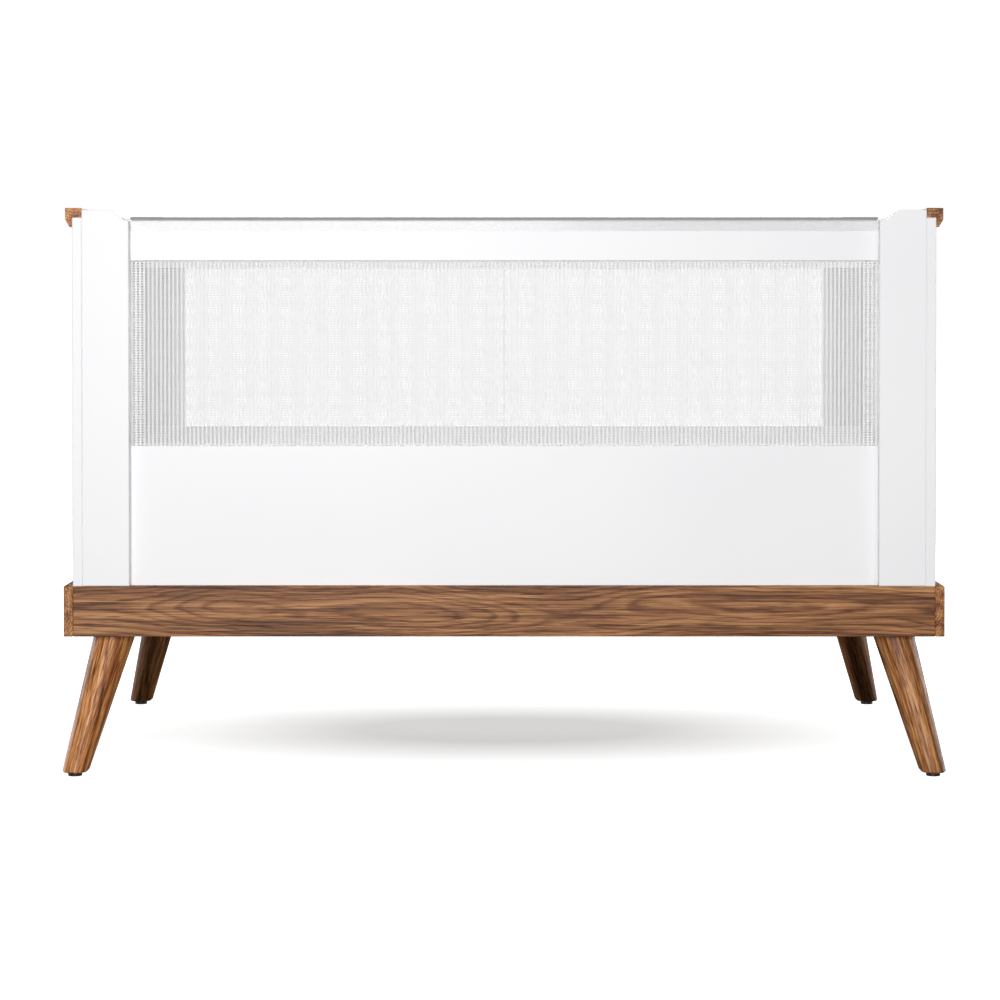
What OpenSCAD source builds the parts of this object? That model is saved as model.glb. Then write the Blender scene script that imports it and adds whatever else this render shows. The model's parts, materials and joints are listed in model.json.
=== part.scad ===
// Baby crib with mesh sides on a raised wooden base.
// Frame: X along the length, Y front (-) to rear (+), Z up, origin on the floor under the middle.
// Each piece that repeats is drawn once, for the rear right corner, and mirrored.

/* [Overall] */
// Length over the wooden base
crib_l = 1390; // [1150:5:1700]
// Depth over the wooden base, front to rear
crib_w = 770; // [640:5:930]
// Height from the floor to the top of the wooden end caps
crib_h = 896; // [860:2:1080]

/* [Boards] */
// Thickness of every board: ends, posts, rails, lower panels and base aprons
board_t = 15; // [15:0.5:18]
// Chamfer that eases the boards' edges
ease = 1; // [0.4:0.1:1.4]
// Width of the corner posts
post_w = 74; // [50:1:110]
// Height of the top rails
rail_h = 63; // [50:1:90]
// Distance from the top of the end caps down to the top of the rails
rail_drop = 20; // [18:1:40]
// Height of the top edge of the lower panels above the floor
sill_z = 521; // [430:1:600]
// How far the posts stop below the top of the end caps
post_drop = 3; // [1:0.5:8]

/* [Post notch] */
// Height cut away at the inner top corner of a post
notch_drop = 18; // [12:1:30]
// Radius of the cove at the foot of the notch
notch_r = 22; // [16:1:24]
// Slope of the straight part of the notch, in degrees
notch_slope = 42; // [30:1:50]
// Radius of the rounded shoulder at the top of the notch
notch_shoulder_r = 20; // [4:1:30]

/* [End caps] */
// Thickness of the cap's flat top
cap_t = 15; // [15:1:22]
// Thickness of the cap's outer lip
cap_lip_t = 11; // [8:1:18]
// Height of the cap, top to the bottom of the lip
cap_h = 30; // [26:1:45]
// Height of the chamfer on the outside of the lip
cap_chamfer_h = 12; // [6:1:18]
// Width of that chamfer
cap_chamfer_w = 7; // [3:0.5:9]

/* [Base] */
// Height of the underside of the base above the floor
base_z = 220; // [170:5:280]
// Height of the base aprons
apron_h = 80; // [70:2:120]
// How far the white body starts above the underside of the base
body_inset = 5; // [2:1:12]

/* [Legs] */
// Diameter at the top
leg_top_d = 64; // [45:1:70]
// Diameter at the foot
leg_foot_d = 40; // [30:1:44]
// Leg centre at the top, in from the outside of the base, along X
leg_inset_x = 73; // [66:1:90]
// Leg centre at the top, in from the outside of the base, along Y
leg_inset_y = 59; // [56:1:90]
// How far the foot stands outside the top, along X
leg_splay_x = 56; // [20:1:70]
// How far the foot stands outside the top, along Y
leg_splay_y = 54; // [20:1:70]
// Chamfer round the foot
foot_chamfer = 2; // [1:0.5:4]
// Side of the square block that the leg is screwed into
block_l = 110; // [95:1:140]
// Thickness of that block
block_t = 28; // [20:1:28]

/* [Glides] */
// Diameter of the glide under each foot
glide_d = 22; // [16:1:26]
// Height of the glide
glide_h = 6; // [3:0.5:10]
// Diameter of the glide's stem
glide_stem_d = 6; // [4:0.5:8]
// Length of the glide's stem
glide_stem_l = 16; // [8:1:20]

/* [Mesh sides] */
// Thickness of the woven mesh
mesh_t = 0.6; // [0.4:0.1:1.2]
// Thickness of the strips that clamp the mesh
strip_t = 3.4; // [2:0.1:4]
// Height of the strips that clamp the mesh
strip_h = 14; // [8:1:16]
// Gap between the mesh or strips and the end panels
mesh_end_gap = 1; // [0.5:0.5:4]

/* [Teething guards] */
// Wall thickness
guard_t = 1.5; // [1:0.1:2.5]
// How far the guard's legs reach down the rail
guard_h = 16; // [10:1:25]
// Height of the rounded crown above the rail
guard_crown = 6; // [3:0.5:8]
// Gap between guard and rail, each side
guard_gap = 0.2; // [0.1:0.1:0.5]
// Gap between guard and post, each end
guard_end_gap = 0.5; // [0.5:0.5:3]

/* [Mattress support] */
// Height of the underside of the support above the floor, at the lowest setting
support_z = 250; // [250:1:260]
// Gap to the end panels, each end
support_gap_x = 5; // [3:1:8]
// Gap to the lower panels, each side
support_gap_y = 2; // [1:0.5:5]
// Width of the support's rails
support_rail_w = 30; // [25:1:45]
// Thickness of the support's rails
support_rail_t = 20; // [18:1:28]
// Number of slats
slat_n = 10; // [7:1:10]
// Width of a slat
slat_w = 80; // [60:1:90]
// Thickness of a slat
slat_t = 12; // [10:1:18]

/* [Support pins] */
// Number of height settings
setting_n = 3; // [2:1:3]
// Height from one setting to the next
setting_step = 110; // [80:5:120]
// Gap between an outer pin's tongue and the nearest leg block
pin_block_gap = 17; // [5:1:80]
// Diameter of a pin's stem
pin_d = 8; // [6:0.5:10]
// Depth of a pin's hole in the end panel
pin_depth = 10; // [8:0.5:12]
// Length of the tongue that carries the support
tongue_l = 17; // [12:1:24]
// Width of the tongue
tongue_w = 16; // [12:1:24]
// Thickness of the tongue
tongue_t = 4; // [3:0.5:5]

/* [Mattress] */
// Thickness of the mattress
mattress_t = 100; // [60:5:130]
// Gap between mattress and end panels, each end
mattress_gap_x = 15; // [5:1:30]
// Gap between mattress and lower panels, each side
mattress_gap_y = 5; // [3:1:20]
// Radius of the mattress corners
mattress_r = 40; // [20:5:80]

/* [Fasteners] */
// Diameter of the panel bolts
bolt_d = 6; // [5:0.5:6]
// Length of the panel bolts under the head
bolt_l = 42; // [36:1:55]
// Diameter of the bolt head
bolt_head_d = 13; // [11:0.5:14]
// Height of the bolt head
bolt_head_h = 4.5; // [3:0.5:5]
// Diameter of the pocket round the bolt head
pocket_d = 16; // [15:0.5:18]
// Depth of that pocket
pocket_depth = 6; // [5.5:0.5:7]
// Diameter of the cover cap's face
bolt_cap_d = 20; // [19:0.5:26]
// Thickness of the cover cap's face
bolt_cap_t = 1.6; // [1:0.1:3]
// Diameter of the barrel nuts
nut_d = 10; // [9:0.5:10]
// Length of the barrel nuts
nut_l = 12; // [10:0.5:12]
// Diameter of the dowels
dowel_d = 8; // [6:0.5:8]
// Depth of a dowel in a board's face
dowel_face = 10; // [8:0.5:11]
// Depth of a dowel in a board's edge
dowel_edge = 20; // [12:1:25]
// Diameter of the wood screws
screw_d = 4; // [3:0.5:4.5]
// Length of the wood screws
screw_l = 25; // [20:1:26]
// Diameter of the screw heads
screw_head_d = 8; // [7:0.5:9]
// Diameter of the hanger bolts that hold the legs
hanger_d = 8; // [6:1:10]
// Length of a hanger bolt inside the leg
hanger_leg = 40; // [25:1:50]
// Length of a hanger bolt inside the block
hanger_block = 20; // [12:1:20]
// Radial clearance round pins, bolts, dowels and screws in their holes
fit = 0.05; // [0.05:0.01:0.1]

/* [Hidden] */
$fn = 64;
eps = 1;                                        // how far cutters run past a face

half_l = crib_l / 2;
half_w = crib_w / 2;
end_out = half_l - board_t;                     // outer face of an end panel
end_in = end_out - board_t;                     // inner face of an end panel
cover_y = half_w - board_t;                     // back face of posts and long aprons
inner_y = cover_y - board_t;                    // inner face of rails and lower panels
body_mid_y = (cover_y + inner_y) / 2;           // middle of the rails' and panels' thickness
end_mid_x = (end_out + end_in) / 2;             // middle of an end panel's thickness

base_top = base_z + apron_h;
body_z = base_z + body_inset;
end_top = crib_h - cap_t;                       // top of an end panel, under its cap
rail_top = crib_h - rail_drop;
rail_z = rail_top - rail_h;
post_x = end_in - post_w;                       // inner side of a post
post_top = crib_h - post_drop;

mesh_y = inner_y + strip_t;                     // inner face of the mesh
mesh_end = end_in - mesh_end_gap;

block_x = end_in - block_l;
block_y = inner_y - block_l;
leg_x = half_l - leg_inset_x;
leg_y = half_w - leg_inset_y;
leg_rise = base_z - glide_h;                    // height of a leg from glide to base
leg_splay = sqrt(leg_splay_x * leg_splay_x + leg_splay_y * leg_splay_y);
leg_lean = atan(leg_splay / leg_rise);
leg_heading = atan2(leg_splay_y, leg_splay_x);
leg_len = leg_rise / cos(leg_lean);

support_x = end_in - support_gap_x;
support_y = inner_y - support_gap_y;
slat_z = support_z + support_rail_t;
slat_top = slat_z + slat_t;
slat_pitch = (2 * support_x - slat_w) / (slat_n - 1);
slat_screw_y = support_y - support_rail_w / 2;

pin_z = support_z - pin_d / 2;                  // axis of a pin's stem at the lowest setting
pin_y = block_y - pin_block_gap - tongue_w / 2; // the outer pins, from the middle of the end
pin_ys = [-pin_y, 0, pin_y];

head_x = end_out - pocket_depth;                // face that a panel bolt's head bears on
nut_x = head_x - bolt_l + nut_d / 2 + 3;        // axis of a barrel nut, 3 mm from the bolt's tip
rail_bolt_z = (rail_z + rail_top) / 2;
rail_dowel_z = rail_bolt_z + 20;
low_bolt_z = base_top + 40;
high_bolt_z = sill_z - 60;
panel_dowel_z = (low_bolt_z + high_bolt_z) / 2;
bolt_zs = [rail_bolt_z, low_bolt_z, high_bolt_z];
body_dowel_zs = [rail_dowel_z, panel_dowel_z];

screw_head_h = (screw_head_d - screw_d) / 2;    // countersunk heads have 45 degree sides
post_screw_x = post_x + 15;
post_screw_zs = [base_top + 70, sill_z - 30, rail_bolt_z];
apron_screw_z = base_z + apron_h / 2;
apron_screw_xs = [for (i = [-1.5:1:1.5]) i * crib_l / 5];
apron_screw_ys = [for (i = [-1.5:1:1.5]) i * crib_w / 4];

apron_dowel_y = half_w - board_t / 2;
apron_dowel_zs = [base_z + apron_h / 4, base_z + apron_h * 3 / 4];
cap_dowel_ys = [-crib_w / 2 + 90, 0, crib_w / 2 - 90];

white = [0.95, 0.95, 0.96];
oak = [0.58, 0.40, 0.27];
pine = [0.86, 0.74, 0.55];
steel = [0.72, 0.73, 0.75];

SIDES = ["front", "rear"];
ENDS = ["left", "right"];

function slat_name(i) = str("slat_", i < 9 ? "0" : "", i + 1);

// ---- Placing: everything is drawn at the rear right and mirrored ----

module at_side(s) mirror([0, s == "front" ? 1 : 0, 0]) children();
module at_end(e) mirror([e == "left" ? 1 : 0, 0, 0]) children();
module each_corner() {
    for (mx = [0, 1], my = [0, 1])
        mirror([mx, 0, 0]) mirror([0, my, 0]) children();
}

// A rectangle with chamfered corners
module eased_rect(size)
    polygon([
        [ease, 0], [size.x - ease, 0], [size.x, ease], [size.x, size.y - ease],
        [size.x - ease, size.y], [ease, size.y], [0, size.y - ease], [0, ease]
    ]);

// A board with eased edges all round, from the origin
module board(size)
    intersection() {
        linear_extrude(size.z) eased_rect([size.x, size.y]);
        translate([0, size.y, 0]) rotate([90, 0, 0])
            linear_extrude(size.y) eased_rect([size.x, size.z]);
        rotate([90, 0, 90]) linear_extrude(size.x) eased_rect([size.y, size.z]);
    }

// A cylinder along +X or +Y, starting at the origin
module rod_x(d, l) rotate([0, 90, 0]) cylinder(d = d, h = l);
module rod_y(d, l) rotate([-90, 0, 0]) cylinder(d = d, h = l);

// ---- Holes ----

// One panel bolt's way through an end panel and into a board's end
module bolt_hole() {
    translate([head_x, body_mid_y, 0]) rod_x(pocket_d, pocket_depth + eps);
    translate([head_x - bolt_l - 2, body_mid_y, 0]) rod_x(bolt_d + 2 * fit, bolt_l + 2 + eps);
}

// The barrel nut's hole, open on the inner face of a rail or lower panel
module nut_hole() {
    translate([nut_x, inner_y - eps, 0]) rod_y(nut_d + 2 * fit, nut_l + eps);
}

// A dowel's hole across the joint between end panel and board end
module body_dowel_hole() {
    translate([end_in - dowel_edge, body_mid_y, 0])
        rod_x(dowel_d + 2 * fit, dowel_edge + dowel_face);
}

// A countersunk screw's hole; the screw runs along +Z from a head at the origin
module screw_hole() {
    translate([0, 0, -eps]) cylinder(d = screw_d + 2 * fit, h = screw_l + eps + 1);
    cylinder(d1 = screw_head_d + 2 * fit, d2 = screw_d + 2 * fit, h = screw_head_h);
    translate([0, 0, -eps]) cylinder(d = screw_head_d + 2 * fit, h = eps);
}

module post_screw_place() {
    for (z = post_screw_zs) translate([post_screw_x, inner_y, z]) rotate([-90, 0, 0]) children();
}
module side_apron_screw_place() {
    for (x = apron_screw_xs) translate([x, inner_y, apron_screw_z]) rotate([-90, 0, 0]) children();
}
module end_apron_screw_place() {
    for (y = apron_screw_ys) translate([end_in, y, apron_screw_z]) rotate([0, 90, 0]) children();
}
module slat_screw_place(i) {
    x = -support_x + slat_w / 2 + i * slat_pitch;
    for (y = [-1, 1] * slat_screw_y) translate([x, y, slat_top]) rotate([180, 0, 0]) children();
}
module apron_dowel_place() {
    for (z = apron_dowel_zs) translate([0, apron_dowel_y, z]) children();
}

// The dowels' holes between a cap and its end panel
module cap_dowel_holes() {
    for (y = cap_dowel_ys)
        translate([end_mid_x, y, end_top - dowel_edge])
            cylinder(d = dowel_d + 2 * fit, h = dowel_edge + dowel_face);
}

// ---- White body ----

module end_panel() {
    color(white) difference() {
        translate([end_in, -half_w, body_z]) board([board_t, crib_w, end_top - body_z]);
        for (s = SIDES) at_side(s) {
            // the long apron's end sits in this corner
            translate([end_in - eps, cover_y, body_z - eps])
                cube([board_t + 2 * eps, board_t + eps, base_top - body_z + eps]);
            for (z = bolt_zs) translate([0, 0, z]) bolt_hole();
            for (z = body_dowel_zs) translate([0, 0, z]) body_dowel_hole();
        }
        for (y = pin_ys, k = [0:setting_n - 1])
            translate([end_in - eps, y, pin_z + k * setting_step])
                rod_x(pin_d + 2 * fit, pin_depth + eps);
        end_apron_screw_place() screw_hole();
        cap_dowel_holes();
    }
}

// The outline of a post seen from the front: x from its inner side, y from its top
function post_outline() =
    let(
        steps = 12,
        bends_r = notch_r + notch_shoulder_r,
        straight_h = notch_drop - bends_r * (1 - cos(notch_slope)),
        notch_w = bends_r * sin(notch_slope) + straight_h / tan(notch_slope),
        cove = [
            for (i = [0:steps])
                let(turn = notch_slope * i / steps)
                    [notch_r * sin(turn), notch_r * (1 - cos(turn)) - notch_drop]
        ],
        shoulder = [
            for (i = [steps:-1:0])
                let(turn = notch_slope * i / steps)
                    [notch_w - notch_shoulder_r * sin(turn), notch_shoulder_r * (cos(turn) - 1)]
        ]
    )
    concat(
        [[0, base_top - post_top]],
        cove,
        shoulder,
        [[post_w, 0], [post_w, base_top - post_top]]
    );

module corner_post() {
    color(white) difference() {
        intersection() {
            translate([post_x, half_w, post_top]) rotate([90, 0, 0])
                linear_extrude(board_t) polygon(post_outline());
            translate([post_x, cover_y, base_top]) board([post_w, board_t, post_top - base_top]);
        }
        post_screw_place() screw_hole();
    }
}

// A board between the end panels, with the joints at both ends
module body_board(z0, z1) {
    difference() {
        translate([-end_in, inner_y, z0]) board([2 * end_in, board_t, z1 - z0]);
        for (e = ENDS) at_end(e) {
            for (z = bolt_zs) if (z > z0 && z < z1) translate([0, 0, z]) {
                bolt_hole();
                nut_hole();
            }
            for (z = body_dowel_zs) if (z > z0 && z < z1) translate([0, 0, z]) body_dowel_hole();
            post_screw_place() screw_hole();
        }
    }
}

// The recess on a board's inner face for the mesh and its strip
module mesh_recess(z0, z1) {
    translate([-end_in - eps, inner_y - eps, z0])
        cube([2 * (end_in + eps), strip_t + mesh_t + eps, z1 - z0]);
}

module top_rail() {
    color(white) difference() {
        body_board(rail_z, rail_top);
        mesh_recess(rail_z - eps, rail_z + strip_h);
    }
}

module lower_panel() {
    color(white) difference() {
        body_board(body_z, sill_z);
        mesh_recess(sill_z - strip_h, sill_z + eps);
        side_apron_screw_place() screw_hole();
    }
}

module mesh_panel() {
    color([0.93, 0.93, 0.94])
        translate([-mesh_end, mesh_y, sill_z - strip_h])
            cube([2 * mesh_end, mesh_t, rail_z - sill_z + 2 * strip_h]);
}

module mesh_strip(z0) {
    color(white)
        translate([-mesh_end, inner_y, z0]) cube([2 * mesh_end, strip_t, strip_h]);
}

module teething_guard() {
    inner = board_t / 2 + guard_gap;
    outer = inner + guard_t;
    crown_r = (outer * outer + guard_crown * guard_crown) / (2 * guard_crown);
    length = 2 * (post_x - guard_end_gap);
    color([0.80, 0.82, 0.84, 0.6])
        translate([-length / 2, body_mid_y, rail_top]) rotate([90, 0, 90])
            linear_extrude(length) {
                for (side = [-1, 1])
                    translate([side * (inner + guard_t / 2) - guard_t / 2, -guard_h])
                        square([guard_t, guard_h]);
                intersection() {
                    translate([0, guard_crown - crown_r]) circle(crown_r, $fn = 128);
                    translate([-outer, 0]) square([2 * outer, guard_crown + eps]);
                }
            }
}

// ---- Wooden caps and base ----

module end_cap() {
    lip_out = end_out + cap_lip_t;
    color(oak) difference() {
        intersection() {
            translate([0, half_w, 0]) rotate([90, 0, 0]) linear_extrude(crib_w)
                polygon([
                    [end_in, crib_h],
                    [lip_out, crib_h],
                    [lip_out, crib_h - cap_h + cap_chamfer_h],
                    [lip_out - cap_chamfer_w, crib_h - cap_h],
                    [end_out, crib_h - cap_h],
                    [end_out, end_top],
                    [end_in, end_top]
                ]);
            translate([end_in, -half_w, crib_h - cap_h]) board([lip_out - end_in, crib_w, cap_h]);
        }
        cap_dowel_holes();
    }
}

module side_apron() {
    color(oak) difference() {
        translate([-end_out, cover_y, base_z]) board([2 * end_out, board_t, apron_h]);
        side_apron_screw_place() screw_hole();
        for (e = ENDS) at_end(e) apron_dowel_place()
            translate([end_out - dowel_edge, 0, 0]) rod_x(dowel_d + 2 * fit, dowel_edge + eps);
    }
}

module end_apron() {
    color(oak) difference() {
        translate([end_out, -half_w, base_z]) board([board_t, crib_w, apron_h]);
        end_apron_screw_place() screw_hole();
        for (s = SIDES) at_side(s) apron_dowel_place()
            translate([end_out - eps, 0, 0]) rod_x(dowel_d + 2 * fit, dowel_face + eps);
    }
}

// ---- Legs ----

// Turns a leg's own axis, pointing down from the origin, into its splayed direction
module leg_axis() {
    translate([leg_x, leg_y, base_z]) rotate([0, 0, leg_heading]) rotate([0, 180 - leg_lean, 0])
        children();
}

module hanger_hole() {
    leg_axis() translate([0, 0, -hanger_block - 1])
        cylinder(d = hanger_d + 2 * fit, h = hanger_block + hanger_leg + 2);
}

module leg_block() {
    color(pine) difference() {
        translate([block_x, block_y, base_z]) board([block_l, block_l, block_t]);
        hanger_hole();
    }
}

module leg() {
    foot_x = leg_x + leg_splay_x;
    foot_y = leg_y + leg_splay_y;
    taper = (leg_top_d - leg_foot_d) / leg_len;
    over = leg_top_d;
    color(oak) difference() {
        intersection() {
            leg_axis() translate([0, 0, -over])
                cylinder(d1 = leg_top_d + taper * over, d2 = leg_foot_d - taper * over,
                    h = leg_len + 2 * over);
            translate([foot_x, foot_y, glide_h])
                cylinder(r1 = leg_foot_d / 2 - foot_chamfer,
                    r2 = leg_foot_d / 2 - foot_chamfer + leg_rise, h = leg_rise);
        }
        hanger_hole();
        translate([foot_x, foot_y, glide_h - eps])
            cylinder(d = glide_stem_d + 2 * fit, h = glide_stem_l + eps + 1);
    }
}

module glide() {
    color([0.08, 0.08, 0.08]) translate([leg_x + leg_splay_x, leg_y + leg_splay_y, 0]) {
        cylinder(d = glide_d, h = glide_h);
        translate([0, 0, glide_h]) cylinder(d = glide_stem_d, h = glide_stem_l);
    }
}

// ---- Mattress support ----

module support_side_rail() {
    color(pine) difference() {
        translate([-support_x, support_y - support_rail_w, support_z])
            board([2 * support_x, support_rail_w, support_rail_t]);
        for (i = [0:slat_n - 1]) slat_screw_place(i) screw_hole();
    }
}

module support_end_rail() {
    color(pine)
        translate([support_x - support_rail_w, -support_y + support_rail_w, support_z])
            board([support_rail_w, 2 * (support_y - support_rail_w), support_rail_t]);
}

module slat(i) {
    color(pine) difference() {
        translate([-support_x + i * slat_pitch, -support_y, slat_z])
            board([slat_w, 2 * support_y, slat_t]);
        slat_screw_place(i) screw_hole();
    }
}

module mattress() {
    x = end_in - mattress_gap_x - mattress_r;
    y = inner_y - mattress_gap_y - mattress_r;
    color([0.94, 0.94, 0.93]) translate([0, 0, slat_top]) {
        translate([-x - mattress_r, -y, 0]) cube([2 * (x + mattress_r), 2 * y, mattress_t]);
        translate([-x, -y - mattress_r, 0]) cube([2 * x, 2 * (y + mattress_r), mattress_t]);
        for (mx = [-x, x], my = [-y, y])
            translate([mx, my, 0]) cylinder(r = mattress_r, h = mattress_t);
    }
}

// ---- Fasteners, each kind drawn as one group ----

module hanger_bolts() {
    color(steel) each_corner() leg_axis() translate([0, 0, -hanger_block])
        cylinder(d = hanger_d, h = hanger_block + hanger_leg);
}

module panel_bolts() {
    socket_d = 4;
    color(steel) each_corner() for (z = bolt_zs) translate([head_x, body_mid_y, z]) difference() {
        union() {
            rod_x(bolt_head_d, bolt_head_h);
            translate([-bolt_l, 0, 0]) rod_x(bolt_d, bolt_l);
        }
        translate([bolt_head_h - 2.5, 0, 0]) rotate([0, 90, 0])
            cylinder(d = socket_d, h = 2.5 + eps, $fn = 6);
    }
}

module barrel_nuts() {
    slot_w = 1.2;
    inset = 0.2;
    color(steel) each_corner() for (z = bolt_zs) difference() {
        translate([nut_x, inner_y + inset, z]) rod_y(nut_d, nut_l - 2 * inset);
        translate([nut_x - nut_d, inner_y - eps, z - slot_w / 2])
            cube([2 * nut_d, inset + eps + 1, slot_w]);
        translate([nut_x - nut_d, body_mid_y, z]) rod_x(bolt_d + 2 * fit, 2 * nut_d);
    }
}

module bolt_caps() {
    plug = pocket_depth - bolt_head_h - 0.2;
    color(white) each_corner() for (z = bolt_zs) translate([end_out, body_mid_y, z]) {
        rod_x(bolt_cap_d, bolt_cap_t);
        translate([-plug, 0, 0]) rod_x(pocket_d - 2 * fit, plug);
    }
}

module dowels() {
    inset = 0.3;
    length = dowel_edge + dowel_face - 2 * inset;
    color(pine) {
        each_corner() {
            for (z = body_dowel_zs)
                translate([end_in - dowel_edge + inset, body_mid_y, z]) rod_x(dowel_d, length);
            apron_dowel_place()
                translate([end_out - dowel_edge + inset, 0, 0]) rod_x(dowel_d, length);
        }
        for (e = ENDS, y = cap_dowel_ys) at_end(e)
            translate([end_mid_x, y, end_top - dowel_edge + inset])
                cylinder(d = dowel_d, h = length);
    }
}

// A countersunk screw with a cross slot, along +Z from a head at the origin
module wood_screw() {
    slot_w = 0.8;
    slot_l = screw_head_d * 0.6;
    color(steel) difference() {
        union() {
            cylinder(d1 = screw_head_d, d2 = screw_d, h = screw_head_h);
            translate([0, 0, screw_head_h]) cylinder(d = screw_d, h = screw_l - screw_head_h);
        }
        for (turn = [0, 90]) rotate([0, 0, turn])
            translate([-slot_l / 2, -slot_w / 2, -eps]) cube([slot_l, slot_w, eps + 1.2]);
    }
}

module post_screws() each_corner() post_screw_place() wood_screw();
module slat_screws() for (i = [0:slat_n - 1]) slat_screw_place(i) wood_screw();
module apron_screws() {
    for (s = SIDES) at_side(s) side_apron_screw_place() wood_screw();
    for (e = ENDS) at_end(e) end_apron_screw_place() wood_screw();
}

module support_pins() {
    color(steel) for (e = ENDS, y = pin_ys) at_end(e) translate([end_in, y, 0]) {
        translate([0, 0, pin_z]) rod_x(pin_d, pin_depth - 0.3);
        translate([-tongue_l, -tongue_w / 2, support_z - tongue_t])
            cube([tongue_l, tongue_w, tongue_t]);
    }
}

// ---- One line for each node ----

for (e = ENDS) {
    at_end(e) end_panel();
    at_end(e) end_cap();
    at_end(e) end_apron();
    at_end(e) support_end_rail();
}
for (s = SIDES) {
    at_side(s) top_rail();
    at_side(s) teething_guard();
    at_side(s) lower_panel();
    at_side(s) mesh_panel();
    at_side(s) mesh_strip(rail_z);
    at_side(s) mesh_strip(sill_z - strip_h);
    at_side(s) side_apron();
    at_side(s) support_side_rail();
}
for (s = SIDES, e = ENDS) {
    at_side(s) at_end(e) corner_post();
    at_side(s) at_end(e) leg_block();
    at_side(s) at_end(e) leg();
    at_side(s) at_end(e) glide();
}
for (i = [0:slat_n - 1]) {
    slat(i);
}
hanger_bolts();
panel_bolts();
barrel_nuts();
bolt_caps();
dowels();
post_screws();
apron_screws();
slat_screws();
support_pins();
mattress();
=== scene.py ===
"""Looks of the baby crib: materials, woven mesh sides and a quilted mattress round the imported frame."""
import json
import math

import bmesh
import bpy
import numpy as np
from mathutils import Matrix, Vector

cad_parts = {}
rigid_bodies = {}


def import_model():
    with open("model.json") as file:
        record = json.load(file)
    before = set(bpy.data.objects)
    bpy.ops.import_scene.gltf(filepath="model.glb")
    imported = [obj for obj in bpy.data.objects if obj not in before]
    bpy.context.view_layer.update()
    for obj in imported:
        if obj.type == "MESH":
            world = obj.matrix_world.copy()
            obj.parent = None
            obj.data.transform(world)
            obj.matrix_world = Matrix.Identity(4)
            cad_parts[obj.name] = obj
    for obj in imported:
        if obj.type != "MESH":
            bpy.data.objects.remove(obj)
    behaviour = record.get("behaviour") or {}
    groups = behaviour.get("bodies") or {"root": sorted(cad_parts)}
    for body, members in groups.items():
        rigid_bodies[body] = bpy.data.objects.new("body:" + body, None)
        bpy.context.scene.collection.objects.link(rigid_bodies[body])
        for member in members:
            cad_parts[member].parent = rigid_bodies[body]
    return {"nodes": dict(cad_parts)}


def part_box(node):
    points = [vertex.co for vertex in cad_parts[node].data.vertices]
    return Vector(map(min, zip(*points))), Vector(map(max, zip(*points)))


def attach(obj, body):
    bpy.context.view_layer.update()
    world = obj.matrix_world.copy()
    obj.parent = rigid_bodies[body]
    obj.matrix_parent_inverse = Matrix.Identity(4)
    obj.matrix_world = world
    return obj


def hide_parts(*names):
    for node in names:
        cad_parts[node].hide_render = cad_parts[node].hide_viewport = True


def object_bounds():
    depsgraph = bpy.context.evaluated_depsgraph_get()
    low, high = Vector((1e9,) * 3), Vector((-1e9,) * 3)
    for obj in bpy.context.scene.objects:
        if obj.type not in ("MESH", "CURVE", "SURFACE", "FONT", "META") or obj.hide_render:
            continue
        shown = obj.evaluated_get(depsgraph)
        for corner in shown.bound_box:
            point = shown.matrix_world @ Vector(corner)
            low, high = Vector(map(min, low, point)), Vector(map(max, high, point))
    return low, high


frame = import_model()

CAD_LOW, CAD_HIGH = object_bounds()
NODES = frame["nodes"]
SIDES = ("front", "rear")
ENDS = ("left", "right")
X, Y, Z = Vector((1, 0, 0)), Vector((0, 1, 0)), Vector((0, 0, 1))


# ---- Camera ----

FOCAL = 2.632             # focal length over image width
EYE_DISTANCE = 4.143      # from the front plane of the crib
EYE_HEIGHT = 0.7345
EYE_X = -0.0026
TILT = math.radians(1.0)  # how far the camera looks down
CENTRE_X, CENTRE_Y = -0.0025, -0.1895  # image centre from the horizon's middle, in image widths
SENSOR = 36.0             # sensor width in mm
FAR = 100.0               # the camera sees nothing beyond this


def make_camera():
    data = bpy.data.cameras.new("camera")
    data.sensor_width = SENSOR
    data.lens = FOCAL * data.sensor_width
    data.shift_x = CENTRE_X
    data.shift_y = CENTRE_Y + FOCAL * math.tan(TILT)
    data.clip_end = FAR
    camera = bpy.data.objects.new("camera", data)
    bpy.context.scene.collection.objects.link(camera)
    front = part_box("base_apron_front")[0].y
    camera.location = (EYE_X, front - EYE_DISTANCE, EYE_HEIGHT)
    camera.rotation_euler = (math.radians(90) - TILT, 0, 0)
    bpy.context.scene.camera = camera


# ---- Small helpers ----

def srgb(red, green, blue):
    """A colour of 0 to 255 steps as linear RGBA."""
    def linear(c):
        c /= 255
        return c / 12.92 if c <= 0.04045 else ((c + 0.055) / 1.055) ** 2.4
    return (linear(red), linear(green), linear(blue), 1.0)


def new_mesh(name, points, faces):
    """A smooth mesh object from points and from faces that all have the same number of corners."""
    points = np.asarray(points, np.float32)
    faces = np.asarray(faces, np.int32)
    mesh = bpy.data.meshes.new(name)
    mesh.vertices.add(len(points))
    mesh.vertices.foreach_set("co", points.ravel())
    mesh.loops.add(faces.size)
    mesh.loops.foreach_set("vertex_index", faces.ravel())
    mesh.polygons.add(len(faces))
    mesh.polygons.foreach_set("loop_start", np.arange(0, faces.size, faces.shape[1]))
    mesh.update(calc_edges=True)
    mesh.validate()
    mesh.polygons.foreach_set("use_smooth", np.ones(len(faces), bool))
    obj = bpy.data.objects.new(name, mesh)
    bpy.context.scene.collection.objects.link(obj)
    return obj


def face_outwards(obj):
    """Turns all faces of a closed mesh outwards."""
    work = bmesh.new()
    work.from_mesh(obj.data)
    bmesh.ops.recalc_face_normals(work, faces=work.faces)
    work.to_mesh(obj.data)
    work.free()


def slice_centre(obj, z):
    """The middle of the ring of points that an object has at a height."""
    near = 0.001
    ring = np.array([v.co for v in obj.data.vertices if abs(v.co.z - z) < near])
    return Vector((ring.min(0) + ring.max(0)) / 2)


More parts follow.
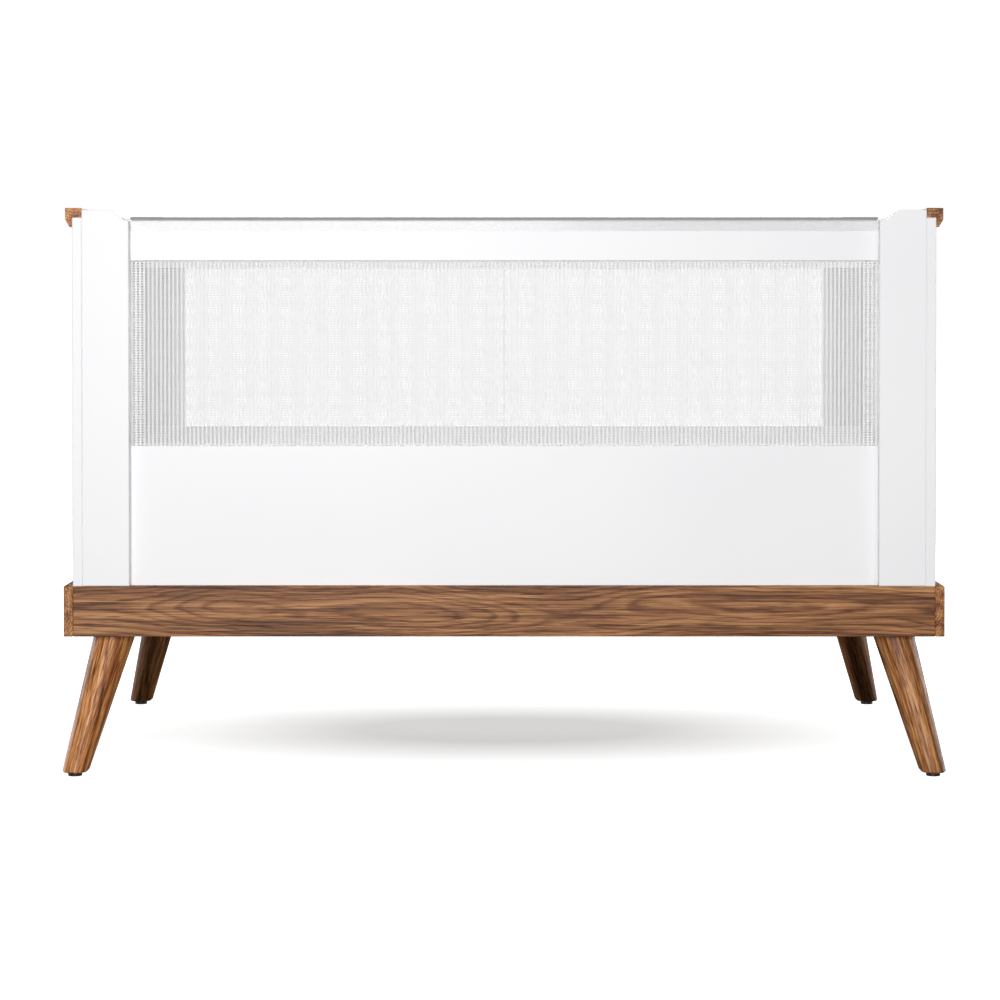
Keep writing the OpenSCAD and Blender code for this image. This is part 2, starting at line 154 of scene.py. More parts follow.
def dress(obj, material):
    """Gives an object one material."""
    obj.data.materials.clear()
    obj.data.materials.append(material)


# ---- Materials ----

MIX_FIRST, MIX_SECOND, MIX_RESULT = 6, 7, 2   # places of the Mix node's colour sockets

# Wood. A pattern's scale is how often it repeats in a metre: along the grain, then in the two
# directions across it.
WANDER_SCALE, WANDER = (1.6, 4.0, 4.0), (0, 0.07, 0.07)       # slow bends of the rings, and their size
RAGGED_SCALE, RAGGED = (9.0, 60.0, 60.0), (0, 0.006, 0.006)   # small bends of the rings
FIBRE_SCALE = (7.0, 420.0, 420.0)
STREAK_SCALE = (2.2, 70.0, 70.0)
PORE_SCALE = (24.0, 700.0, 700.0)
RING_STOPS = ((0.0, 0.35), (0.12, 0.62), (0.6, 0.5), (0.86, 0.1), (1.0, 0.35))   # across one ring
FIBRE_SHARE, STREAK_SHARE, RING_SHARE = 0.65, 0.75, 0.27      # how much each adds to the shade
SHADE_DROP = 0.31                                             # taken off their sum
WOOD_STOPS = ((0.26, (58, 26, 8)), (0.41, (101, 57, 24)), (0.53, (143, 92, 50)), (0.69, (187, 136, 88)))
PORE_COLOUR = (50, 27, 12)
PORE_STRENGTH = 0.55          # how far a pore takes on its colour
WOOD_ROUGHNESS, PORE_ROUGHNESS = 0.46, 0.15                   # of the wood, and what a pore adds

# Each brown piece: how light it is, how far the rings' middle lies under its face, and where along the
# grain its pattern starts, so that no two pieces look alike. How light a cap or a leg is holds painted
# light as well as the wood's own tone: the pieces at the left end are made lighter, as if lit from the
# left.
LONG_APRON_PITH, LONG_APRON_STEP = 0.045, 3.1
END_APRON_TONE, END_APRON_PITH, END_APRON_START = 1.12, 0.06, 7.7
CAP_TONES_AND_LIGHT, CAP_PITH, CAP_START = {"left": 1.28, "right": 1.06}, 0.08, 13.0
END_STEP = 2.3
LEG_TONES_AND_LIGHT = {
    ("front", "left"): 1.28, ("front", "right"): 1.11, ("rear", "left"): 1.22, ("rear", "right"): 1.14,
}
LEG_PITH, LEG_RING, LEG_START, LEG_STEP = 0.02, 0.0055, 17.0, 2.1

PINE_ALONG, PINE_ACROSS = 9.0, 260.0     # how often the fibres repeat in a metre
PINE_BANDS = 0.16                        # how often the broad bands repeat, as a share of that
PLASTIC_GRAIN = 900.0                    # how often moulded plastic's grain repeats in a metre

GUARD_CROWN = 0.006                      # height of the teething guard above the rail
GUARD_CLEAR, GUARD_CROWN_ADDS, GUARD_HAZE = 0.12, 0.72, 0.06   # alpha: legs, crown, uneven part

# Mesh. The threads are sheer, and a small glow stands in for the light that they scatter between them.
THREAD_ALPHA = 0.45
THREAD_GLOW = 0.14
THREAD_TRANSLUCENT = 0.24


class Paint:
    """One material's node tree, with short calls for the nodes that it needs."""

    def __init__(self, name, **settings):
        self.material = bpy.data.materials.new(name)
        self.material.use_nodes = True
        self.tree = self.material.node_tree
        self.shader = self.tree.nodes["Principled BSDF"]
        self.place = self.node("TexCoord").outputs["Object"]
        for key, value in settings.items():
            self.shader.inputs[key.replace("_", " ")].default_value = value

    def node(self, kind, **settings):
        made = self.tree.nodes.new("ShaderNode" + kind)
        for key, value in settings.items():
            setattr(made, key, value)
        return made

    def put(self, socket, value):
        if isinstance(value, bpy.types.NodeSocket):
            self.tree.links.new(value, socket)
        else:
            socket.default_value = value

    def set(self, key, value):
        self.put(self.shader.inputs[key], value)

    def math(self, operation, *values):
        made = self.node("Math", operation=operation)
        for socket, value in zip(made.inputs, values):
            self.put(socket, value)
        return made.outputs[0]

    def vector(self, operation, *values):
        made = self.node("VectorMath", operation=operation)
        for socket, value in zip(made.inputs, values):
            self.put(socket, value)
        return made.outputs["Value" if operation == "LENGTH" else "Vector"]

    def stretch(self, place, scale):
        return self.vector("MULTIPLY", place, scale)

    def noise(self, place, scale=1.0, detail=2.0, roughness=0.5, distortion=0.0, colour=False):
        made = self.node("TexNoise")
        self.put(made.inputs["Vector"], place)
        for key, value in (
            ("Scale", scale), ("Detail", detail), ("Roughness", roughness), ("Distortion", distortion)
        ):
            made.inputs[key].default_value = value
        return made.outputs["Color" if colour else "Fac"]

    def ramp(self, value, *stops):
        """Colours, or greys given as one number, at their places from 0 to 1."""
        made = self.node("ValToRGB")
        elements = made.color_ramp.elements
        while len(elements) < len(stops):
            elements.new(0.5)
        for element, (at, colour) in zip(elements, stops):
            element.position = at
            element.color = colour if hasattr(colour, "__len__") else (colour,) * 3 + (1.0,)
        self.put(made.inputs["Fac"], value)
        return made.outputs["Color"]

    def blend(self, share, first, second):
        made = self.node("Mix", data_type="RGBA")
        self.put(made.inputs["Factor"], share)
        self.put(made.inputs[MIX_FIRST], first)
        self.put(made.inputs[MIX_SECOND], second)
        return made.outputs[MIX_RESULT]

    def bump(self, height, distance, strength=1.0):
        made = self.node("Bump")
        made.inputs["Strength"].default_value = strength
        made.inputs["Distance"].default_value = distance
        self.put(made.inputs["Height"], height)
        self.set("Normal", made.outputs["Normal"])


def wood(name, grain, across, origin, pith=0.05, ring=0.0042, tone=1.0, seed=0.0):
    """Brown open-grained wood. grain and across are the board's long and wide directions, and origin
    is a point on it. pith is how far the middle of the tree's rings lies under its face, ring the
    width of one ring, tone how light the wood is, and seed where along the grain it starts."""
    grain, across = Vector(grain).normalized(), Vector(across).normalized()
    turn = Matrix((grain, across, grain.cross(across)))
    paint = Paint(name, Specular_IOR_Level=0.3)
    placed = paint.node("Mapping")
    paint.put(placed.inputs["Vector"], paint.place)
    placed.inputs["Rotation"].default_value = turn.to_euler("XYZ")
    placed.inputs["Location"].default_value = Vector((seed, 0, pith)) - turn @ Vector(origin)
    place = placed.outputs["Vector"]

    # the rings wander slowly along the board, which draws the long arches of a flat-sawn face
    half = (0.5, 0.5, 0.5)
    wander = paint.noise(paint.stretch(place, WANDER_SCALE), 1.0, 2.0, colour=True)
    wander = paint.vector("MULTIPLY", paint.vector("SUBTRACT", wander, half), WANDER)
    ragged = paint.noise(paint.stretch(place, RAGGED_SCALE), 1.0, 3.0, 0.6, colour=True)
    ragged = paint.vector("MULTIPLY", paint.vector("SUBTRACT", ragged, half), RAGGED)
    bent = paint.vector("ADD", paint.vector("ADD", place, wander), ragged)
    radius = paint.vector("LENGTH", paint.stretch(bent, (0.0, 1.0, 1.0)))
    rings = paint.math("FRACT", paint.math("DIVIDE", radius, ring))
    rings = paint.ramp(rings, *RING_STOPS)

    fibres = paint.noise(paint.stretch(place, FIBRE_SCALE), 1.0, 3.0, 0.65)
    streaks = paint.noise(paint.stretch(place, STREAK_SCALE), 1.0, 3.0, 0.6)
    pores = paint.noise(paint.stretch(place, PORE_SCALE), 1.0, 1.0, 0.5)
    pores = paint.ramp(pores, (0.58, 0.0), (0.68, 1.0))

    shade = paint.math("MULTIPLY_ADD", fibres, FIBRE_SHARE, paint.math("MULTIPLY", streaks, STREAK_SHARE))
    shade = paint.math("MULTIPLY_ADD", rings, RING_SHARE, shade)
    shade = paint.math("SUBTRACT", shade, SHADE_DROP)
    colour = paint.ramp(shade, *((at, srgb(*(c * tone for c in rgb))) for at, rgb in WOOD_STOPS))
    dark_pore = srgb(*(c * tone for c in PORE_COLOUR))
    paint.set("Base Color", paint.blend(paint.math("MULTIPLY", pores, PORE_STRENGTH), colour, dark_pore))
    paint.set("Roughness", paint.math("MULTIPLY_ADD", pores, PORE_ROUGHNESS, WOOD_ROUGHNESS))
    height = paint.math("SUBTRACT", paint.math("MULTIPLY", fibres, 0.5), pores)
    paint.bump(height, 0.00025, 0.5)
    return paint.material


def pine(name, grain):
    """Bare pale softwood of the hidden mattress support, blocks and dowels."""
    paint = Paint(name, Roughness=0.62)
    scale = [PINE_ALONG if g else PINE_ACROSS for g in grain]
    fibres = paint.noise(paint.stretch(paint.place, scale), 1.0, 3.0, 0.6)
    bands = paint.noise(paint.stretch(paint.place, [s * PINE_BANDS for s in scale]), 1.0, 2.0, 0.5, 0.4)
    shade = paint.math("MULTIPLY_ADD", fibres, 0.4, paint.math("MULTIPLY", bands, 0.6))
    colour = paint.ramp(
        shade, (0.3, srgb(196, 156, 104)), (0.5, srgb(222, 188, 138)), (0.7, srgb(238, 212, 168))
    )
    paint.set("Base Color", colour)
    paint.bump(fibres, 0.0002, 0.5)
    return paint.material


def lacquer():
    """White satin lacquer: almost even, with a faint orange peel."""
    paint = Paint("white_lacquer")
    cloud = paint.noise(paint.place, 3.0, 2.0)
    paint.set("Base Color", paint.ramp(cloud, (0.3, (0.83, 0.83, 0.845, 1)), (0.7, (0.86, 0.86, 0.87, 1))))
    paint.set("Roughness", paint.math("MULTIPLY_ADD", cloud, 0.08, 0.36))
    peel = paint.noise(paint.place, 420.0, 2.0, 0.4)
    paint.bump(peel, 0.00006, 0.6)
    return paint.material


def moulded(name, colour, roughness):
    """Moulded plastic with a fine even grain."""
    paint = Paint(name)
    cloud = paint.noise(paint.place, 14.0, 2.0)
    low = [c * 0.93 for c in colour[:3]] + [1.0]
    paint.set("Base Color", paint.ramp(cloud, (0.3, low), (0.7, colour)))
    paint.set("Roughness", paint.math("MULTIPLY_ADD", cloud, 0.1, roughness))
    paint.bump(paint.noise(paint.place, PLASTIC_GRAIN, 2.0), 0.0001, 0.5)
    return paint.material


def clear_plastic():
    """The teething guard's clear plastic: almost unseen on the rail, and less clear on its crown, where a
    painted grey shade stands in for how dark thick clear plastic looks.
    """
    paint = Paint("guard_plastic", IOR=1.47, Roughness=0.12)
    height = paint.node("SeparateXYZ")
    paint.put(height.inputs[0], paint.place)
    above = paint.math("SUBTRACT", height.outputs["Z"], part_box("top_rail_front")[1].z)
    crown_and_painted_shade = paint.ramp(paint.math("DIVIDE", above, GUARD_CROWN), (0.0, 0.0), (0.3, 1.0))
    haze = paint.noise(paint.stretch(paint.place, (4.0, 60.0, 60.0)), 1.0, 2.0)
    # painted shade: the crown is coloured dark grey, standing in for the dark that thick clear plastic
    # shows, and the same ramp makes the crown less clear
    paint.set("Base Color", paint.blend(crown_and_painted_shade, (0.80, 0.80, 0.81, 1), (0.30, 0.30, 0.305, 1)))
    uneven = paint.math("MULTIPLY_ADD", haze, GUARD_HAZE, GUARD_CLEAR)
    paint.set("Alpha", paint.math("MULTIPLY_ADD", crown_and_painted_shade, GUARD_CROWN_ADDS, uneven))
    paint.bump(haze, 0.0001, 0.4)
    return paint.material


def zinc():
    """Zinc-plated steel of the fasteners and pins."""
    paint = Paint("steel", Metallic=1.0)
    brushed = paint.noise(paint.stretch(paint.place, (700.0, 700.0, 120.0)), 1.0, 3.0)
    cloud = paint.noise(paint.place, 60.0, 2.0)
    paint.set("Base Color", paint.ramp(cloud, (0.3, (0.50, 0.51, 0.53, 1)), (0.7, (0.66, 0.66, 0.67, 1))))
    paint.set("Roughness", paint.math("MULTIPLY_ADD", brushed, 0.2, 0.24))
    paint.bump(brushed, 0.00005, 0.5)
    return paint.material


def woven():
    """White woven polyester of the mesh: fine threads round every hole, which let some light through."""
    paint = Paint(
        "mesh_fabric", Roughness=0.75, Alpha=THREAD_ALPHA, Sheen_Weight=0.2, Sheen_Roughness=0.4,
        Emission_Color=(1, 1, 1, 1), Emission_Strength=THREAD_GLOW,
    )
    threads = paint.noise(paint.stretch(paint.place, (500.0, 500.0, 2600.0)), 1.0, 2.0)
    cross = paint.noise(paint.stretch(paint.place, (2600.0, 500.0, 500.0)), 1.0, 2.0)
    weave = paint.math("MAXIMUM", threads, cross)
    colour = paint.ramp(weave, (0.35, (0.92, 0.92, 0.925, 1)), (0.65, (0.97, 0.97, 0.97, 1)))
    paint.set("Base Color", colour)
    paint.bump(weave, 0.0001, 0.6)
    through = paint.node("BsdfTranslucent")
    paint.put(through.inputs["Color"], colour)
    both = paint.node("MixShader")
    both.inputs["Fac"].default_value = THREAD_TRANSLUCENT
    paint.put(both.inputs[1], paint.shader.outputs[0])
    paint.put(both.inputs[2], through.outputs[0])
    paint.put(paint.tree.nodes["Material Output"].inputs["Surface"], both.outputs[0])
    return paint.material


def quilted_cotton():
    """Off-white cotton of the mattress cover."""
    paint = Paint("mattress_fabric", Roughness=0.85, Sheen_Weight=0.3)
    warp = paint.noise(paint.stretch(paint.place, (1500.0, 90.0, 300.0)), 1.0, 2.0)
    weft = paint.noise(paint.stretch(paint.place, (90.0, 1500.0, 1500.0)), 1.0, 2.0)
    weave = paint.math("MAXIMUM", warp, weft)
    paint.set("Base Color", paint.ramp(weave, (0.3, (0.72, 0.71, 0.68, 1)), (0.7, (0.86, 0.855, 0.83, 1))))
    paint.bump(weave, 0.0003, 0.6)
    return paint.material


def dress_frame():
    """Gives every CAD node its material."""
    white, metal = lacquer(), zinc()
    strip = moulded("strip_plastic", srgb(240, 240, 241), 0.42)
    cap = moulded("cap_plastic", srgb(241, 241, 242), 0.3)
    glide = moulded("glide_plastic", srgb(22, 22, 23), 0.5)
    guard = clear_plastic()
    pine_x, pine_y = pine("pine_x", X), pine("pine_y", Y)
    by_start = {
        "end_panel": white, "corner_post": white, "top_rail": white, "lower_panel": white,
        "mesh_strip": strip, "teething_guard": guard, "bolt_caps": cap, "glide": glide,
        "slat_screws": metal, "slat_": pine_y, "support_pins": metal,
        "support_rail_left": pine_y, "support_rail_right": pine_y, "support_rail": pine_x,
        "leg_block": pine_x, "dowels": pine_x, "hanger_bolts": metal, "panel_bolts": metal,
        "barrel_nuts": metal, "post_screws": metal, "apron_screws": metal,
    }
    for name, obj in NODES.items():
        for start, material in by_start.items():
            if name.startswith(start):
                dress(obj, material)
                break
    dress_wood()


def dress_wood():
    """Gives each brown board and leg its own cut of wood."""
    for count, side in enumerate(SIDES):
        name = "base_apron_" + side
        low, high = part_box(name)
        facing = -1 if side == "front" else 1
        face = (low + high) / 2 + Y * facing * (high.y - low.y) / 2
        grown = wood("oak_" + name, X, -Z * facing, face, LONG_APRON_PITH, seed=LONG_APRON_STEP * count)
        dress(NODES[name], grown)
    for count, end in enumerate(ENDS):
        for name, across, pith, tone, start in (
            ("base_apron_" + end, Z, END_APRON_PITH, END_APRON_TONE, END_APRON_START),
            ("end_cap_" + end, X, CAP_PITH, CAP_TONES_AND_LIGHT[end], CAP_START),
        ):
            low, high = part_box(name)
            centre = (low + high) / 2
            seed = start + END_STEP * count
            dress(NODES[name], wood("oak_" + name, Y, across, centre, pith, tone=tone, seed=seed))
    for count, (side, end) in enumerate((side, end) for side in SIDES for end in ENDS):
        name = f"leg_{side}_{end}"
        low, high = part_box(name)
        top, foot = slice_centre(NODES[name], high.z), slice_centre(NODES[name], low.z)
        axis = (top - foot).normalized()
        grown = wood(
            "oak_" + name, axis, X.cross(axis), top, LEG_PITH, LEG_RING, LEG_TONES_AND_LIGHT[side, end],
            LEG_START + LEG_STEP * count,
        )
        dress(NODES[name], grown)


# ---- Woven mesh ----

PITCH_X, PITCH_Z = 0.00656, 0.00404   # from hole to hole
HOLE_X, HOLE_Z = 0.0042, 0.0025       # size of a hole
HOLE_SQUARE = 0.12                    # how far a hole's corners stand out past an ellipse
THREAD = 0.0004                       # thickness of the woven threads
HEM = 0.009                           # plain band at each end of the cloth
RIM_POINTS = 8                        # round each hole


def split_quads(a, b, c, d):
    """Arrays of quads as arrays of triangles."""
    return [np.stack([a, b, c], -1).reshape(-1, 3), np.stack([a, c, d], -1).reshape(-1, 3)]


def cell_faces(index, rim, holes):
    """One layer's faces: plain cells, and threads that run from a cell's corners to its hole's rim."""
    a, b, c, d = index[:-1, :-1], index[1:, :-1], index[1:, 1:], index[:-1, 1:]
    plain = np.ones(a.shape, bool)
    plain[holes] = False
    faces = split_quads(a[plain], b[plain], c[plain], d[plain])
    corners = [corner[holes] for corner in (c, d, a, b)]
    for n in range(4):
        corner, after = corners[n], corners[(n + 1) % 4]
        first, middle, last = (rim[:, :, (2 * n + k) % RIM_POINTS] for k in range(3))
        for trio in ((corner, middle, first), (corner, last, middle), (corner, after, last)):
            faces.append(np.stack(trio, -1).reshape(-1, 3))
    return np.concatenate(faces)


def make_mesh_half(side, end):
    """Half of a side's mesh as one closed sheet: threads round real holes, thin at the holes' rims."""
    low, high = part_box("mesh_" + side)
    y = (low.y + high.y) / 2
    window_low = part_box("lower_panel_" + side)[1].z - PITCH_Z / 2
    window_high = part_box("top_rail_" + side)[0].z + PITCH_Z / 2
    columns = round((high.x - HEM) / PITCH_X)
    rows = round((window_high - window_low) / PITCH_Z)
    xs = np.append(np.linspace(0, high.x - HEM, columns + 1), high.x)
    hole_columns = slice(0, columns)
    if end == "left":
        xs = -xs[::-1]
        hole_columns = slice(1, columns + 1)
    zs = np.concatenate([[low.z], np.linspace(window_low, window_high, rows + 1), [high.z]])
    hole_rows = slice(1, rows + 1)

    grid_x, grid_z = np.meshgrid(xs, zs, indexing="ij")
    front = np.stack([grid_x, np.full_like(grid_x, y - THREAD / 2), grid_z], -1).reshape(-1, 3)
    back = front + (0, THREAD, 0)
    index = np.arange(len(front)).reshape(grid_x.shape)

    # the points round each hole, shared by the two layers
    angle = np.arange(RIM_POINTS) * 2 * math.pi / RIM_POINTS
    reach = 1 + HOLE_SQUARE * np.abs(np.sin(2 * angle))
    mid_x = ((xs[:-1] + xs[1:]) / 2)[hole_columns]
    mid_z = ((zs[:-1] + zs[1:]) / 2)[hole_rows]
    shape = (len(mid_x), len(mid_z), len(angle))
    rim_x = np.broadcast_to(mid_x[:, None, None] + HOLE_X / 2 * np.cos(angle) * reach, shape)
    rim_z = np.broadcast_to(mid_z[None, :, None] + HOLE_Z / 2 * np.sin(angle) * reach, shape)
    rims = np.stack([rim_x, np.full(shape, y), rim_z], -1).reshape(-1, 3)
    rim = 2 * len(front) + np.arange(len(rims)).reshape(shape)

    border = np.concatenate([index[:, 0], index[-1, 1:], index[-2::-1, -1], index[0, -2:0:-1]])
    after = np.roll(border, -1)
    faces = np.concatenate([
        cell_faces(index, rim, (hole_columns, hole_rows)),
        cell_faces(index + len(front), rim, (hole_columns, hole_rows))[:, ::-1],
        *split_quads(border, border + len(front), after + len(front), after),
    ])
    half = new_mesh(f"mesh_{side}_{end}_half", np.concatenate([front, back, rims]), faces)
    face_outwards(half)
    # a crease round each hole, so that the threads are shaded as flat and not as beads
    edges = np.empty(2 * len(half.data.edges), np.int32)
    half.data.edges.foreach_get("vertices", edges)
    half.data.edges.foreach_set("use_edge_sharp", edges.reshape(-1, 2).min(1) >= 2 * len(front))
    return half


def make_meshes():
    cloth = woven()
    for side in SIDES:
        for end in ENDS:
            half = make_mesh_half(side, end)
            dress(half, cloth)
            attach(half, "crib_frame")
            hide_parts("mesh_" + side)


# ---- Mattress ----

CORNER_RADIUS = 0.04     # of the mattress seen from above
VOXEL = 0.0105           # remesh size before the cloth simulation
SLACK = 0.009            # how much smaller the cover starts, each side
SWELL = 0.0085           # most that a point of the cover may move
PRESSURE = 4.0           # that swells the cover
CLOTH_FRAMES = 20        # length of the simulation
QUILT_PITCH = 0.105      # between rows of stitching
QUILT_DEPTH = 0.0055     # from a crown down to the stitching
QUILT_MARGIN = 0.035     # plain band round the quilted top
QUILT_SIDE = 0.03        # how far below the top the quilting has died out
QUILT_FADE = 0.02        # over which the quilting sets in
PUCKER = 0.12            # unevenness of the stitching, as a share of its depth
PIPING = 0.0042          # radius of the piping round the edges
PIPING_SPACING = 0.006   # between the rings of its mesh
PIPING_POINTS = 8        # in each of these rings
SEAM = PIPING + 0.001    # from the mattress's outside in to the middle of the piping
PIPING_BELOW_TOP = 2.4 * SEAM
PIPING_ABOVE_FOOT = 1.6 * SEAM
CORNER_STEPS = 8         # straight pieces in each corner of the piping


def applied(obj):
    """Bakes an object's modifiers into its mesh."""
    depsgraph = bpy.context.evaluated_depsgraph_get()
    mesh = bpy.data.meshes.new_from_object(obj.evaluated_get(depsgraph))
    obj.modifiers.clear()
    obj.data = mesh


def get_points(mesh):
    points = np.empty(len(mesh.vertices) * 3, np.float32)
    mesh.vertices.foreach_get("co", points)
    return points.reshape(-1, 3)


def set_points(mesh, points):
    mesh.vertices.foreach_set("co", points.ravel())
    mesh.update()


def inflate(obj):
    """Swells a closed cover by cloth simulation, no point further than SWELL."""
    start = get_points(obj.data)
    cloth = obj.modifiers.new("cloth", "CLOTH")
    cloth.settings.use_pressure = True
    cloth.settings.uniform_pressure_force = PRESSURE
    cloth.settings.effector_weights.gravity = 0.0
    cloth.point_cache.frame_start = 1
    cloth.point_cache.frame_end = CLOTH_FRAMES
    for step in range(1, CLOTH_FRAMES + 1):
        bpy.context.scene.frame_set(step)
    applied(obj)
    bpy.context.scene.frame_set(1)
    move = get_points(obj.data) - start
    far = np.linalg.norm(move, axis=1, keepdims=True)
    set_points(obj.data, start + move * np.minimum(1, SWELL / np.maximum(far, 1e-9)))


def quilt(points, half_x, half_y, top):
    """The heights of the cover's points, with diamond rows of stitching pressed into its top."""
    x, y, z = points.T
    u = (x + y) / math.sqrt(2) / QUILT_PITCH
    v = (x - y) / math.sqrt(2) / QUILT_PITCH
    puff = np.sqrt(np.abs(np.sin(math.pi * u) * np.sin(math.pi * v)))
    pucker = PUCKER * np.sin(290 * x + 3 * np.sin(41 * y)) * np.sin(270 * y + 3 * np.sin(37 * x))
    drop = QUILT_DEPTH * (1 - puff) * (1 + pucker)
    inside = np.minimum(half_x - np.abs(x), half_y - np.abs(y))
    from_edge = np.clip((inside - QUILT_MARGIN) / QUILT_FADE, 0, 1)
    from_side = np.clip((z - top + QUILT_SIDE) / QUILT_FADE, 0, 1)
    return z - drop * from_edge * from_side


def edge_path(half_x, half_y, radius, z):
    """Points along a rectangle with round corners, evenly spaced."""
    across, along = half_x - radius, half_y - radius
    points = []
    for n, (x, y) in enumerate(((across, along), (-across, along), (-across, -along), (across, -along))):
        for step in range(CORNER_STEPS + 1):
            angle = math.pi / 2 * (n + step / CORNER_STEPS)
            points.append((x + radius * math.cos(angle), y + radius * math.sin(angle), z))
    points = np.array(points + points[:1])
    run = np.concatenate([[0], np.cumsum(np.linalg.norm(np.diff(points, axis=0), axis=1))])
    count = round(run[-1] / PIPING_SPACING)
    at = np.arange(count) * run[-1] / count
    return np.stack([np.interp(at, run, points[:, k]) for k in range(3)], -1)


def make_piping(name, path):
    """A round cord sewn along a closed level path."""
    ahead = np.roll(path, -1, 0) - np.roll(path, 1, 0)
    ahead /= np.linalg.norm(ahead, axis=1, keepdims=True)
    outward = np.stack([ahead[:, 1], -ahead[:, 0], np.zeros(len(path))], -1)
    angle = np.arange(PIPING_POINTS) * 2 * math.pi / PIPING_POINTS
    ring = outward[:, None] * np.cos(angle)[:, None] + np.array([0, 0, 1]) * np.sin(angle)[:, None]
    points = (path[:, None] + PIPING * ring).reshape(-1, 3)
    index = np.arange(len(points)).reshape(len(path), len(angle))
    ahead_index, turned = np.roll(index, -1, 0), np.roll(index, -1, 1)
    faces = np.stack([index, ahead_index, np.roll(ahead_index, -1, 1), turned], -1).reshape(-1, 4)
    piping = new_mesh(name, points, faces)
    face_outwards(piping)
    return piping


def make_mattress():
    low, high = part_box("mattress")
    middle = (low + high) / 2
    half = (high - low) / 2
    cover = bpy.data.objects.new("mattress_cover", NODES["mattress"].data.copy())
    bpy.context.scene.collection.objects.link(cover)
    shrink = [1 - SLACK / size for size in half]
    cover.data.transform(
        Matrix.Translation(middle) @ Matrix.Diagonal((*shrink, 1)) @ Matrix.Translation(-middle)
    )
    remesh = cover.modifiers.new("remesh", "REMESH")
    remesh.mode = "VOXEL"
    remesh.voxel_size = VOXEL
    applied(cover)
    inflate(cover)
    cover.modifiers.new("smooth", "SUBSURF").levels = 1
    applied(cover)
    points = get_points(cover.data)
    top = float(points[:, 2].max())
    points[:, 2] = quilt(points, half.x, half.y, top)
    points[:, 2] = np.maximum(points[:, 2] - (points[:, 2].min() - low.z), low.z)
    set_points(cover.data, points)
    cover.data.polygons.foreach_set("use_smooth", np.ones(len(cover.data.polygons), bool))

    cotton = quilted_cotton()
    pieces = [cover]
    for name, z in (("upper", high.z - PIPING_BELOW_TOP), ("lower", low.z + PIPING_ABOVE_FOOT)):
        path = edge_path(half.x - SEAM, half.y - SEAM, CORNER_RADIUS, z)
        pieces.append(make_piping("mattress_piping_" + name, path))
    for piece in pieces:
        dress(piece, cotton)
        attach(piece, "mattress_base")
        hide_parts("mattress")


# ---- Floor and light ----

FLOOR_RADIUS = 4.0      # beyond it the camera sees the backdrop, which is as white
FLOOR_POINTS = 96       # round the floor's rim
FLOOR_ALBEDO = 0.17     # how much light the floor throws back up at the crib
# the soft shadow under the crib is partly cast by the lights and partly painted: the floor's glow that the
# camera sees drops under the crib, shaped by the numbers below
PAINTED_SHADOW_GLOW = 0.38       # white that the camera sees in the middle of the shadow painted under the crib
BACKDROP = 1.02         # brightness of the backdrop, and of the floor outside the shadow
SHADOW_BEHIND = 0.07    # how far the shadow's middle lies behind the crib's
SHADOW_LENGTH = 0.88    # squeeze of the shadow along the crib
SHADOW_REACH = 2.0      # how far out the ramp of the shadow runs, in half sizes of the crib
SHADOW_CORE, SHADOW_END = 0.16, 0.55   # where on that ramp the shadow starts and stops to fade
WORLD_LIGHT = 0.07      # soft light from all round

# Lights: place, point aimed at, size and power
KEY = ((-0.75, -5.2, 1.2), (0, 0, 0.5), (2.0, 2.0), 190)
FILL = ((2.2, -5.5, 0.8), (0, 0, 0.5), (2.0, 2.0), 49)
GLOW = ((0, 3.2, 1.2), (0, 0, 0.6), (2.0, 1.6), 28)    # through the rear mesh only
TOP = ((0, -0.2, 3.6), (0, 0, 0), (2.6, 2.0), 30)
BACK = ((0, 3.2, 1.2), (0, 0, 0.6), (2.0, 1.6), 70)
SIDE_LEFT = ((-4.5, 2.0, 0.7), (0, 0, 0.5), (2.0, 1.2), 88)
SIDE_RIGHT = ((4.5, 2.0, 0.7), (0, 0, 0.5), (2.0, 1.2), 88)


def make_stage():
    rim = [(FLOOR_RADIUS * math.cos(turn), FLOOR_RADIUS * math.sin(turn), 0)
           for turn in np.linspace(0, 2 * math.pi, FLOOR_POINTS, endpoint=False)]
    floor = new_mesh("floor", rim, [range(FLOOR_POINTS)])
    paint = Paint("floor", Roughness=0.9, Specular_IOR_Level=0.0)
    # the camera sees a studio floor lit to plain white, but for the soft shadow under the crib, which is
    # partly cast by the lights and partly painted into the floor's glow
    seen = paint.node("LightPath").outputs["Is Camera Ray"]
    grain = paint.noise(paint.place, 6.0, 2.0)
    grey = paint.ramp(grain, (0.3, 0.59), (0.7, 0.61))
    paint.set("Base Color", paint.blend(seen, (FLOOR_ALBEDO,) * 3 + (1,), grey))
    behind = paint.vector("SUBTRACT", paint.place, (0, SHADOW_BEHIND, 0))
    reach = paint.vector("LENGTH", paint.stretch(behind, (SHADOW_LENGTH / CAD_HIGH.x, 1 / CAD_HIGH.y, 1)))
    fade = paint.math("DIVIDE", reach, SHADOW_REACH)
    # painted shadow: the glow that the camera sees falls from the backdrop's white to its lowest under the
    # crib
    glow = paint.ramp(fade, (SHADOW_CORE, PAINTED_SHADOW_GLOW), (SHADOW_END, BACKDROP))
    paint.set("Emission Color", (1, 1, 1, 1))
    paint.set("Emission Strength", paint.math("MULTIPLY", glow, seen))
    dress(floor, paint.material)


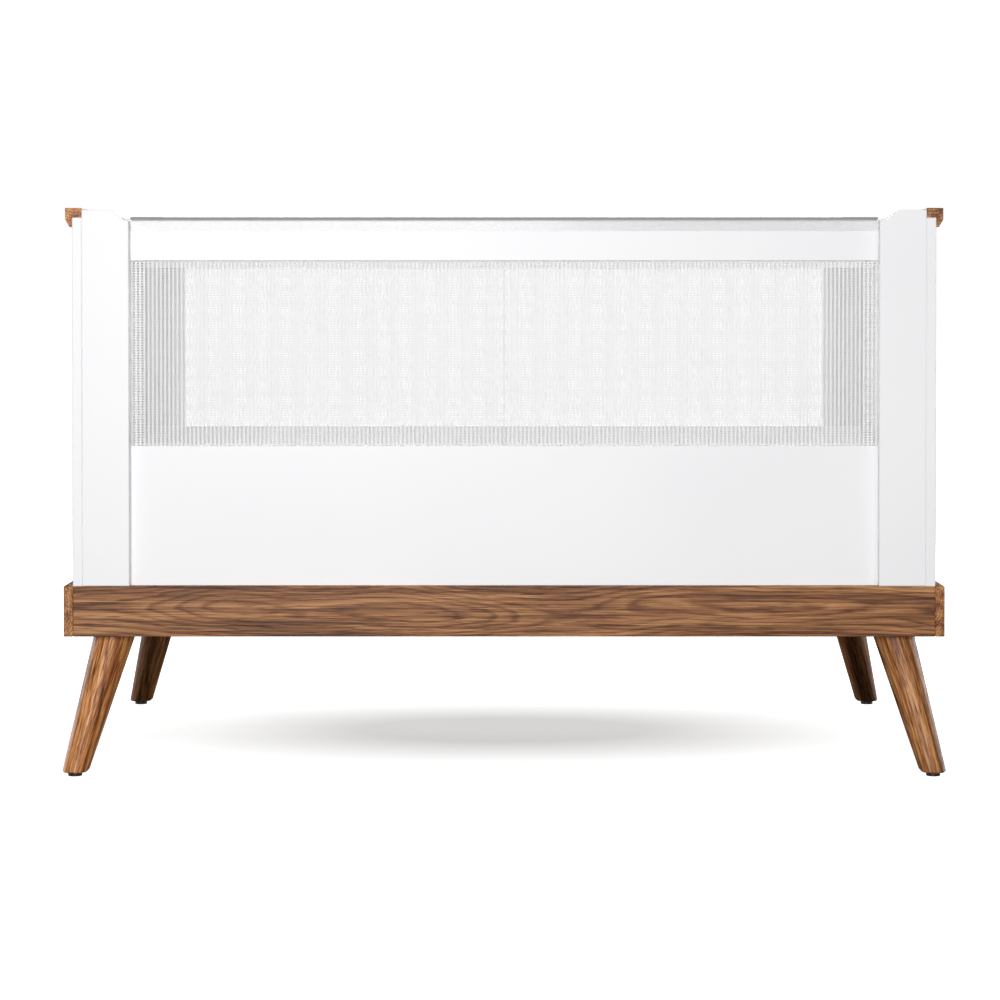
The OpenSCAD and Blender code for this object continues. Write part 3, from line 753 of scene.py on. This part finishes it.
def area_light(name, place, target, size, power):
    data = bpy.data.lights.new(name, "AREA")
    data.shape = "RECTANGLE"
    data.size, data.size_y = size
    data.energy = power
    light = bpy.data.objects.new(name, data)
    bpy.context.scene.collection.objects.link(light)
    light.location = place
    light.rotation_euler = (Vector(target) - Vector(place)).to_track_quat("-Z", "Y").to_euler()
    light.visible_camera = False
    return light


def link_light(light, state, objects):
    """Shines a light on only some objects, or keeps it off them, as a studio does with black cards."""
    group = bpy.data.collections.new(light.name + "_group")
    light.light_linking.receiver_collection = group
    for obj in objects:
        group.objects.link(obj)
    for member in group.collection_objects:
        member.light_linking.link_state = state


def make_lights():
    world = bpy.data.worlds.new("studio")
    world.use_nodes = True
    bpy.context.scene.world = world
    tree = world.node_tree
    seen, soft = tree.nodes["Background"], tree.nodes.new("ShaderNodeBackground")
    for background, strength in ((seen, BACKDROP), (soft, WORLD_LIGHT)):
        background.inputs["Color"].default_value = (1, 1, 1, 1)
        background.inputs["Strength"].default_value = strength
    path, pick = tree.nodes.new("ShaderNodeLightPath"), tree.nodes.new("ShaderNodeMixShader")
    tree.links.new(path.outputs["Is Camera Ray"], pick.inputs["Fac"])
    tree.links.new(soft.outputs[0], pick.inputs[1])
    tree.links.new(seen.outputs[0], pick.inputs[2])
    tree.links.new(pick.outputs[0], tree.nodes["World Output"].inputs["Surface"])
    objects = bpy.data.objects
    rear_cloth = [objects[f"mesh_rear_{end}_half"] for end in ENDS]
    rear_frame = [NODES[start + end] for start in ("corner_post_rear_", "leg_rear_") for end in ENDS]
    shaded = rear_cloth + rear_frame
    link_light(area_light("key", *KEY), "EXCLUDE", shaded)
    link_light(area_light("fill", *FILL), "EXCLUDE", shaded)
    link_light(area_light("glow", *GLOW), "INCLUDE", rear_cloth)
    area_light("top", *TOP)
    area_light("back", *BACK)
    area_light("side", *SIDE_LEFT)
    area_light("side", *SIDE_RIGHT)
    bpy.context.scene.view_settings.view_transform = "Standard"


make_camera()
make_stage()
dress_frame()
make_meshes()
make_mattress()
make_lights()
